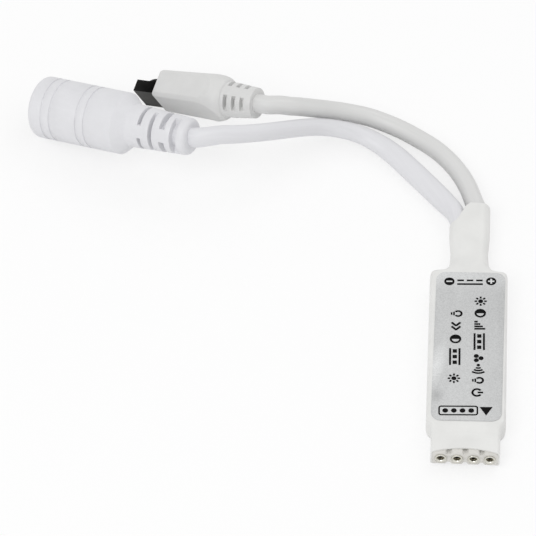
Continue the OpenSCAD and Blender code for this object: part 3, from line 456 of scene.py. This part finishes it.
def dressed_copy(name, node_name, edge, material, slot, corner=35):
    """A copy of a CAD node, which gives way to it, with its faces joined and its edges rounded.

    Edges that turn more than the corner, in degrees, are rounded.
    """
    bm = merged(node_name)
    bmesh.ops.dissolve_limit(bm, angle_limit=math.radians(SAME_PLANE), verts=bm.verts, edges=bm.edges)
    for face in bm.faces:
        face.smooth = True
    piece = new_piece(name, bm)
    rounding = piece.modifiers.new("edge rounding", "BEVEL")
    rounding.width = edge
    rounding.segments = 2
    rounding.limit_method = "ANGLE"
    rounding.angle_limit = math.radians(corner)
    rounding.harden_normals = True
    return finished(piece, material, slot, node_name)


def sharpen(bm, degrees):
    """Smooth shading, with hard edges over an angle."""
    for face in bm.faces:
        face.smooth = True
    for edge in bm.edges:
        edge.smooth = not (edge.is_manifold and edge.calc_face_angle(0) > math.radians(degrees))


def smooth_line(points, ends, steps):
    """The smooth line through a route's points that the solids follow too."""
    headings = [ends[0], *[((b - a).normalized() + (a - c).normalized()).normalized()
                           for c, a, b in zip(points, points[1:], points[2:])], ends[1]]
    line = []
    for i in range(len(points) - 1):
        a, b = points[i], points[i + 1]
        run = (b - a).length
        for k in range(steps):
            u = k / steps
            line.append(a * (1 + u * u * (2 * u - 3)) + b * (u * u * (3 - 2 * u))
                        + headings[i] * (run * u * (1 - u) ** 2) - headings[i + 1] * (run * u * u * (1 - u)))
    return line + [points[-1]]


def between(table, share):
    """The value at a share of the way, read from a table of shares and values."""
    for (a, low), (b, high) in zip(table, table[1:]):
        if share <= b:
            return low + (high - low) * (share - a) / (b - a)
    return table[-1][1]


def fade(value, none, full):
    """0 at the one value, 1 at the other and between them in between."""
    return max(0, min(1, (value - none) / (full - none)))


def extruded_cord(name, line, ends, width, thickness, twist):
    """A cord: one oval face extruded along the line, set square to it and turned at every step."""
    bm = bmesh.new()
    bmesh.ops.create_circle(bm, cap_ends=True, segments=CORD_SIDES, radius=0.5)
    cap = bm.faces[:][0]
    last = Matrix.Identity(4)
    headings = [ends[0], *[(b - a).normalized() for a, b in zip(line, line[2:])], ends[1]]
    around, reach = {}, 0
    for i, (point, along) in enumerate(zip(line, headings)):
        side = along.cross(Vector((0, 0, 1))).normalized()
        lift = side.cross(along)
        turn = math.radians(between(twist, i / (len(line) - 1)))
        wide = side * math.cos(turn) + lift * math.sin(turn)
        thin = lift * math.cos(turn) - side * math.sin(turn)
        place = Matrix((wide * width, thin * thickness, along * -MM)).transposed().to_4x4()
        place.translation = point
        if i == 0:
            bmesh.ops.transform(bm, matrix=place, verts=bm.verts)
        else:
            reach += (point - line[i - 1]).length
            made = bmesh.ops.extrude_face_region(bm, geom=[cap])["geom"]
            if i > 1:
                bmesh.ops.delete(bm, geom=[cap], context="FACES_ONLY")
            cap = next(g for g in made if isinstance(g, bmesh.types.BMFace))
            bmesh.ops.transform(bm, matrix=place @ last.inverted(),
                                verts=[g for g in made if isinstance(g, bmesh.types.BMVert)])
        last = place
        for vert in cap.verts:
            local = place.inverted() @ vert.co
            around[vert] = (math.atan2(local.y, local.x) / math.tau % 1, reach)
    bmesh.ops.recalc_face_normals(bm, faces=bm.faces)
    map_cord(bm, around, math.pi * (width + thickness) / 2)
    sharpen(bm, 50)
    return new_piece(name, bm)


def map_cord(bm, around, girth):
    """Lays a cord's own map over it, in metres round it and along it."""
    layer = bm.loops.layers.uv.new("UVMap")
    for face in bm.faces:
        first = around[face.verts[0]][0]
        for loop in face.loops:
            turn, reach = around[loop.vert]
            loop[layer].uv = ((turn - round(turn - first)) * girth, reach)


def bar(bm, along, across, length, height, turn=0):
    """A printed bar about a point of the label, in millimetres."""
    place = Matrix.Translation((along, across, 0)) @ Matrix.Rotation(math.radians(turn), 4, "Z")
    bmesh.ops.create_grid(bm, x_segments=1, y_segments=1, size=0.5,
                          matrix=place @ Matrix.Diagonal((length, height, 1, 1)))


def disc(bm, along, across, radius, corners=28, turn=0):
    """A printed disc, or a triangle where it has three corners."""
    place = Matrix.Translation((along, across, 0)) @ Matrix.Rotation(math.radians(turn), 4, "Z")
    bmesh.ops.create_circle(bm, cap_ends=True, segments=corners, radius=radius, matrix=place)


def arc(bm, along, across, radius, line, start=0, sweep=360):
    """A printed arc or ring about a point of the label."""
    turn = Matrix.Rotation(math.radians(start), 4, "Z")
    centre = Vector((along, across, 0))
    ends = [bm.verts.new(centre + turn @ Vector((radius + d, 0, 0))) for d in (-line / 2, line / 2)]
    edge = bm.edges.new(ends)
    bmesh.ops.spin(bm, geom=[*ends, edge], cent=centre, axis=(0, 0, 1), angle=math.radians(sweep),
                   steps=max(6, round(abs(sweep) / 12)), use_merge=sweep == 360)


def rays(bm, along, across, inner, outer, line, count):
    """Printed rays round a point of the label."""
    reach = (inner + outer) / 2
    for i in range(count):
        turn = 360 * i / count
        bar(bm, along + reach * math.cos(math.radians(turn)), across + reach * math.sin(math.radians(turn)),
            outer - inner, line, turn)


# The symbols are drawn about their middle, in millimetres along the label and across it
STROKE = 0.34


def sun(bm, along, across):
    disc(bm, along, across, 0.4)
    rays(bm, along, across, 0.56, 0.98, 0.3, 8)


def dimmer(bm, along, across):
    arc(bm, along, across, 0.75, STROKE)
    arc(bm, along, across, 0.32, 0.64, 90, 180)


def levels(bm, along, across):
    for i, height in enumerate((0.55, 0.95, 1.35, 1.75)):
        bar(bm, along + 0.5 * (i - 1.5), across - 0.875 + height / 2, STROKE, height)


def colour_dots(bm, along, across):
    for turn in (math.radians(90), math.radians(210), math.radians(330)):
        disc(bm, along + 0.5 * math.cos(turn), across - 0.12 + 0.5 * math.sin(turn), 0.4)


def beam(bm, along, across):
    disc(bm, along - 0.75, across, 0.27)
    for radius in (0.62, 1.14, 1.66):
        arc(bm, along - 0.75, across, radius, 0.32, -36, 72)


def lamp(bm, along, across):
    arc(bm, along, across + 0.26, 0.54, STROKE, -50, 280)
    bar(bm, along, across - 0.4, 0.74, 0.28)
    bar(bm, along, across - 0.79, 0.52, 0.26)


def standby(bm, along, across):
    arc(bm, along, across - 0.08, 0.7, STROKE, 127, 286)
    bar(bm, along, across + 0.46, STROKE, 0.86)


def faster(bm, along, across):
    for shift in (-0.42, 0.42):
        for side in (-1, 1):
            bar(bm, along + shift, across + side * 0.34, 1.04, 0.36, side * -45)


def light_strip(bm, along, across):
    for side in (-1, 1):
        bar(bm, along, across + side * 0.74, 3.5, 0.32)
    for i in range(3):
        bar(bm, along + (i - 1) * 1.18, across, 0.72, 0.68)


def direct_current(bm, along, across):
    bar(bm, along, across, STROKE, 4.1)
    for shift in (-1.5, 0, 1.5):
        bar(bm, along - 0.8, across + shift, STROKE, 1.05)


def four_outputs(bm, along, across):
    line = 0.25
    for side in (-1, 1):
        bar(bm, along + side * 0.87, across, line, 5.3)
        bar(bm, along, across + side * 2.98, 1.08, line)
    for turn, side, end in ((0, 1, 1), (90, -1, 1), (180, -1, -1), (270, 1, -1)):
        arc(bm, along + side * 0.54, across + end * 2.65, 0.33, line, turn, 90)
    for shift in (-2.03, -0.68, 0.67, 2.02):
        disc(bm, along, across + shift, 0.45)


def output_arrow(bm, along, across):
    disc(bm, along, across, 1.16, 3, -90)


class CONTROLLER_OT_stage(bpy.types.Operator):
    """Camera of the photograph, pale table and soft daylight"""

    bl_idname = "controller.stage"
    bl_label = "Stage"

    def execute(self, context):
        self.place_camera(context.scene)
        self.lay_table(context.scene)
        self.light(context.scene)
        context.scene.view_settings.view_transform = "Standard"
        return {"FINISHED"}

    def place_camera(self, scene):
        """Sets the camera where the photograph was taken from."""
        turn, rise = math.radians(CAMERA_TURN), math.radians(CAMERA_RISE)
        view = Vector((-math.sin(turn) * math.cos(rise), math.cos(turn) * math.cos(rise), -math.sin(rise)))
        lens = bpy.data.cameras.new("camera")
        lens.sensor_width = 36
        lens.lens = CAMERA_LENS
        lens.clip_end = 10
        camera = bpy.data.objects.new("camera", lens)
        camera.location = CAMERA_TARGET - view * CAMERA_DISTANCE
        camera.rotation_euler = (math.pi / 2 - rise, 0, turn)
        scene.collection.objects.link(camera)
        scene.camera = camera

    def lay_table(self, scene):
        """Lays the pale table under the part."""
        bm = bmesh.new()
        bmesh.ops.create_grid(bm, x_segments=1, y_segments=1, size=TABLE_SIZE,
                              matrix=Matrix.Translation((0, 0, -TABLE_DROP)))
        mesh = bpy.data.meshes.new("table")
        bm.to_mesh(mesh)
        bm.free()
        table = bpy.data.objects.new("table", mesh)
        scene.collection.objects.link(table)
        mesh.materials.append(coated_board(scene.controller_colours.floor))

    def light(self, scene):
        """Hangs two soft lamps in a sky that is white to the camera and in gloss, and dimmer as light."""
        world = bpy.data.worlds.new("daylight")
        scene.world = world
        world.use_nodes = True
        tree = world.node_tree
        sky = tree.nodes["Background"]
        sky.inputs["Color"].default_value = (1, 1, 1, 1)
        path = node(tree, "ShaderNodeLightPath")
        seen = node(tree, "ShaderNodeMath", {"operation": "MAXIMUM"}, {
            0: path.outputs["Is Camera Ray"], 1: path.outputs["Is Glossy Ray"]})
        clear = node(tree, "ShaderNodeMath", {"operation": "MAXIMUM"}, {
            0: seen.outputs["Value"], 1: path.outputs["Is Transmission Ray"]})
        level = node(tree, "ShaderNodeMapRange", inputs={
            "Value": clear.outputs["Value"], "To Min": 0.75, "To Max": 1.0})
        tree.links.new(level.outputs["Result"], sky.inputs["Strength"])

        for name, (place, power) in LAMPS.items():
            light = bpy.data.lights.new(name, "AREA")
            light.size = LAMP_SIZE
            light.energy = power
            lamp_object = bpy.data.objects.new(name, light)
            lamp_object.location = Vector(place) + CAMERA_TARGET
            lamp_object.rotation_euler = (-Vector(place)).to_track_quat("-Z", "Y").to_euler()
            scene.collection.objects.link(lamp_object)


class CONTROLLER_OT_power_lead(bpy.types.Operator):
    """Oval cord with its moulded power socket"""

    bl_idname = "controller.power_lead"
    bl_label = "Power lead"

    def execute(self, context):
        sizes = context.scene.controller_sizes
        colour = context.scene.controller_colours.power_jacket
        pvc = soft_pvc("moulded_pvc_cool_white", colour)
        pbt = moulded_resin("moulded_pbt_black", linear("#242426"))
        nickel = plated_metal("nickel_plated_brass", linear("#D9D2BC"), 0.22)
        socket = [
            dressed_copy("socket_moulding", "jack_overmould", sizes.soft_edge, pvc, "jack_overmould"),
            dressed_copy("socket_insulator", "jack_core", sizes.hard_edge, pbt, "jack_core"),
            dressed_copy("socket_pin", "jack_centre_pin", sizes.hard_edge, nickel, "jack_metal"),
            dressed_copy("socket_leaf", "jack_leaf_contact", sizes.hard_edge, nickel, "jack_metal")]

        width = sizes.power_cord_width
        ends = (Vector((0, 1, 0)), POWER_END_HEADING)
        route = [Vector(p) + Vector((0, MOUTH_Y, 0)) for p in POWER_ROUTE]
        line = smooth_line([POWER_EXIT, *route, POWER_END], ends, CORD_STEPS)
        cord = extruded_cord("power_cord_jacket", line, ends, width, sizes.power_cord_thickness, POWER_TWIST)
        finished(cord, extruded_pvc("extruded_pvc_cool_white", colour), "power_cord", "power_cord")
        return {"FINISHED"}


class CONTROLLER_OT_receiver_lead(bpy.types.Operator):
    """Round cord with its moulded infrared receiver"""

    bl_idname = "controller.receiver_lead"
    bl_label = "Receiver lead"

    def execute(self, context):
        sizes = context.scene.controller_sizes
        colour = context.scene.controller_colours.receiver_jacket
        pvc = soft_pvc("moulded_pvc_grey_white", colour)
        epoxy = filter_epoxy()
        head = [
            dressed_copy("receiver_moulding", "receiver_overmould", sizes.head_edge, pvc,
                         "receiver_overmould", corner=20),
            dressed_copy("receiver_eye", "receiver_sensor", sizes.hard_edge, epoxy, "receiver_sensor",
                         corner=25)]

        width = sizes.receiver_cord_diameter
        ends = (Vector((0, 1, 0)), RECEIVER_END_HEADING)
        route = [Vector(p) + Vector((0, MOUTH_Y, 0)) for p in RECEIVER_ROUTE]
        line = smooth_line([RECEIVER_EXIT, *route, RECEIVER_END], ends, CORD_STEPS)
        cord = extruded_cord("receiver_cord_jacket", line, ends, width, width, ROUND_TWIST)
        finished(cord, extruded_pvc("extruded_pvc_grey_white", colour), "receiver_cord", "receiver_cord")
        return {"FINISHED"}


# The sleeve's waves fade in from the first value to the second along y, fade out from its cord end the other
# way, and fade in from the table upwards, in metres
WAVES_START = (0.0115, 0.0135)
WAVES_END = (0.0185, 0.0155)
WAVES_FOOT = (0.0006, 0.0016)
WAVES_PER_METRE = 420
# Height of the sleeve's middle, and the longest edge that is left in its copy
SLEEVE_MIDDLE_Z = 0.0022
LONGEST_EDGE = 0.0011


class CONTROLLER_OT_sleeve(bpy.types.Operator):
    """Shrunk white sleeve round the board, the socket strip and the cords"""

    bl_idname = "controller.sleeve"
    bl_label = "Sleeve"

    def execute(self, context):
        unevenness = context.scene.controller_sizes.sleeve_unevenness
        bm = merged("shrink_sleeve")
        bmesh.ops.join_triangles(bm, faces=bm.faces, angle_face_threshold=math.radians(40),
                                 angle_shape_threshold=math.radians(60))
        for _ in range(5):
            long_edges = [e for e in bm.edges if e.calc_length() > LONGEST_EDGE]
            bmesh.ops.subdivide_edges(bm, edges=long_edges, cuts=1, use_grid_fill=True)
        for vert in bm.verts:
            x, y, z = vert.co
            share = fade(y, *WAVES_START) * fade(y, *WAVES_END) * fade(z, *WAVES_FOOT)
            out = Vector((x, 0, z - SLEEVE_MIDDLE_Z)).normalized()
            vert.co += out * (unevenness * share * noise.noise(vert.co * WAVES_PER_METRE))
        sharpen(bm, 50)
        polyolefin = heat_shrunk_polyolefin(context.scene.controller_colours.sleeve)
        finished(new_piece("sleeve_tube", bm), polyolefin, "shrink_sleeve", "shrink_sleeve")
        return {"FINISHED"}


# The print on the label: each symbol's place along it towards the socket strip, and across it to the right
LONG_ROW_ACROSS = 1.79
LONG_ROW = [(sun, -9.5), (dimmer, -6.95), (levels, -4.4), (light_strip, -0.95), (colour_dots, 2.5),
            (beam, 4.7), (lamp, 7.1), (standby, 9.6)]
SHORT_ROW_ACROSS = -1.98
SHORT_ROW = [(lamp, -6.85), (faster, -4.2), (dimmer, -1.5), (light_strip, 2.2), (sun, 6.7)]
END_SIGNS = [(direct_current, -13.15, 0.3), (four_outputs, 13.3, -1.42), (output_arrow, 13.15, 2.93)]
MINUS_POLE = (-13.72, -3.0)
PLUS_POLE = (-13.77, 3.69)
POLE_RADIUS = 0.83
# How far the two rows lean to the left for each millimetre towards the socket strip
ROW_LEAN = 0.024
# The print's middle along y in metres, and its turn from the controller in degrees
PRINT_Y = -0.00495
PRINT_TURN = 0.6
# Shares of the solid foil's width and length that the seen foil has, from its right and its cord end
LABEL_SHARES = (0.976, 0.988)
# The foil was cut a little out of square: how far it rises for each millimetre to the right
LABEL_LEAN = 0.03


class CONTROLLER_OT_label(bpy.types.Operator):
    """Silver label with plain symbols for what the controller does"""

    bl_idname = "controller.label"
    bl_label = "Label"

    def execute(self, context):
        sizes = context.scene.controller_sizes
        colours = context.scene.controller_colours
        foil = brushed_silver_foil(colours.label)
        sheet = dressed_copy("label_sheet", "label_foil", sizes.foil_edge, foil, "label_foil", corner=50)
        right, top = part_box("label_foil")[1][:2]
        for vert in sheet.data.vertices:
            vert.co.x = right - (right - vert.co.x) * LABEL_SHARES[0]
            vert.co.y = top - (top - vert.co.y) * LABEL_SHARES[1] + LABEL_LEAN * vert.co.x

        bm = bmesh.new()
        for row, across in ((LONG_ROW, LONG_ROW_ACROSS), (SHORT_ROW, SHORT_ROW_ACROSS)):
            for symbol, along in row:
                symbol(bm, along, across - ROW_LEAN * along)
        for symbol, along, across in END_SIGNS:
            symbol(bm, along, across)
        for along, across in (MINUS_POLE, PLUS_POLE):
            disc(bm, along, across, POLE_RADIUS)
        self.printed("label_print", bm, sizes.ink_thickness, screen_ink("screen_ink_black", colours.ink))

        # The signs in the two discs, over the black
        bm = bmesh.new()
        bar(bm, *MINUS_POLE, 0.26, 0.95)
        bar(bm, *PLUS_POLE, 0.28, 1.0)
        for side in (-1, 1):
            bar(bm, PLUS_POLE[0] + side * 0.33, PLUS_POLE[1], 0.38, 0.28)
        silver = screen_ink("screen_ink_silver", colours.label)
        self.printed("label_signs", bm, 1.5 * sizes.ink_thickness, silver)
        return {"FINISHED"}

    def printed(self, name, bm, thickness, ink):
        """Gives a flat print its thickness and lays it on the label, turned as the label is."""
        made = bmesh.ops.extrude_face_region(bm, geom=bm.faces[:])["geom"]
        raised = [g for g in made if isinstance(g, bmesh.types.BMVert)]
        bmesh.ops.translate(bm, vec=(0, 0, thickness / MM), verts=raised)
        bmesh.ops.recalc_face_normals(bm, faces=bm.faces)
        lean = Matrix.Identity(4)
        lean[1][0] = LABEL_LEAN
        place = (Matrix.Translation((0, PRINT_Y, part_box("label_foil")[1][2]))
                 @ lean @ Matrix.Rotation(math.radians(PRINT_TURN - 90), 4, "Z") @ Matrix.Scale(MM, 4))
        bmesh.ops.transform(bm, matrix=place, verts=bm.verts)
        finished(new_piece(name, bm), ink, "label_foil")


class CONTROLLER_OT_output_socket(bpy.types.Operator):
    """Socket strip with its turned contacts and their spring clips"""

    bl_idname = "controller.output_socket"
    bl_label = "Output socket"

    def execute(self, context):
        sizes = context.scene.controller_sizes
        pbt = moulded_resin("moulded_pbt_warm_white", context.scene.controller_colours.strip, 0.45)
        tin = plated_metal("tinned_turned_brass", linear("#DDDBD2"), 0.16)
        # The spring clips' gold is painted dark, as painted shade deep in the contacts' holes
        shade_dark_gold = plated_metal("gold_spring_painted_shade", linear("#6E685A"), 0.28)
        strip = dressed_copy("strip_moulding", "socket_strip", sizes.strip_edge, pbt, "socket_strip")
        dressed_copy("turned_contacts", "contact_sleeves", sizes.hard_edge, tin, "contact_sleeves")
        dressed_copy("spring_clips", "contact_clips", sizes.clip_edge, shade_dark_gold, "contact_clips")

        # The shrunk sleeve grips the strip, so the seen strip fills its seat
        low, high = (Vector(corner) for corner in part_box("socket_strip"))
        middle, size = (low + high) / 2, high - low
        for vert in strip.data.vertices:
            for axis in (0, 2):
                vert.co[axis] += (vert.co[axis] - middle[axis]) * sizes.strip_growth / size[axis]
        return {"FINISHED"}


class CONTROLLER_OT_electronics(bpy.types.Operator):
    """Finishes of the board, its parts and the wires inside"""

    bl_idname = "controller.electronics"
    bl_label = "Electronics"

    def execute(self, context):
        epoxy = moulded_resin("moulded_epoxy_black", linear("#222224"), 0.55)
        solder = plated_metal("bright_solder", linear("#BFC2C4"), 0.3)
        red = soft_pvc("wire_insulation_red", linear("#B9352C"))
        black = soft_pvc("wire_insulation_black", linear("#232325"))
        yellow = soft_pvc("wire_insulation_yellow", linear("#D9B93A"))
        for name, finish in {
                "circuit_board": solder_mask(), "control_chip": epoxy, "voltage_regulator": epoxy,
                "polarity_diode": epoxy, "power_transistors": epoxy, "chip_resistors": epoxy,
                "ceramic_capacitors": moulded_resin("fired_ceramic_tan", linear("#C2A77E"), 0.6),
                "solder_joints": solder, "receiver_leads": solder,
                "power_wire_positive": red, "receiver_wire_supply": red, "jack_wire_tails": red,
                "power_wire_negative": black, "receiver_wire_ground": black,
                "receiver_wire_signal": yellow, "receiver_wire_tails": yellow}.items():
            NODES[name].material_slots[0].material = finish
        return {"FINISHED"}


class CONTROLLER_PT_pieces(bpy.types.Panel):
    """The steps that build the controller, with its sizes and colours"""

    bl_idname = "CONTROLLER_PT_pieces"
    bl_label = "Light strip controller"
    bl_space_type = "VIEW_3D"
    bl_region_type = "UI"
    bl_category = "Controller"

    def draw(self, context):
        for step in STEPS:
            self.layout.operator(step.bl_idname)
        for group in (context.scene.controller_sizes, context.scene.controller_colours):
            box = self.layout.box()
            for name in group.__annotations__:
                box.prop(group, name)


STEPS = (CONTROLLER_OT_stage, CONTROLLER_OT_power_lead, CONTROLLER_OT_receiver_lead, CONTROLLER_OT_sleeve,
         CONTROLLER_OT_label, CONTROLLER_OT_output_socket, CONTROLLER_OT_electronics)
CLASSES = (ControllerSizes, ControllerColours, *STEPS, CONTROLLER_PT_pieces)


def register():
    for kind in CLASSES:
        bpy.utils.register_class(kind)
    bpy.types.Scene.controller_sizes = bpy.props.PointerProperty(type=ControllerSizes)
    bpy.types.Scene.controller_colours = bpy.props.PointerProperty(type=ControllerColours)


def unregister():
    del bpy.types.Scene.controller_colours
    del bpy.types.Scene.controller_sizes
    for kind in reversed(CLASSES):
        bpy.utils.unregister_class(kind)


def main():
    register()
    bpy.ops.controller.stage()
    bpy.ops.controller.power_lead()
    bpy.ops.controller.receiver_lead()
    bpy.ops.controller.sleeve()
    bpy.ops.controller.label()
    bpy.ops.controller.output_socket()
    bpy.ops.controller.electronics()


if __name__ == "__main__":
    main()
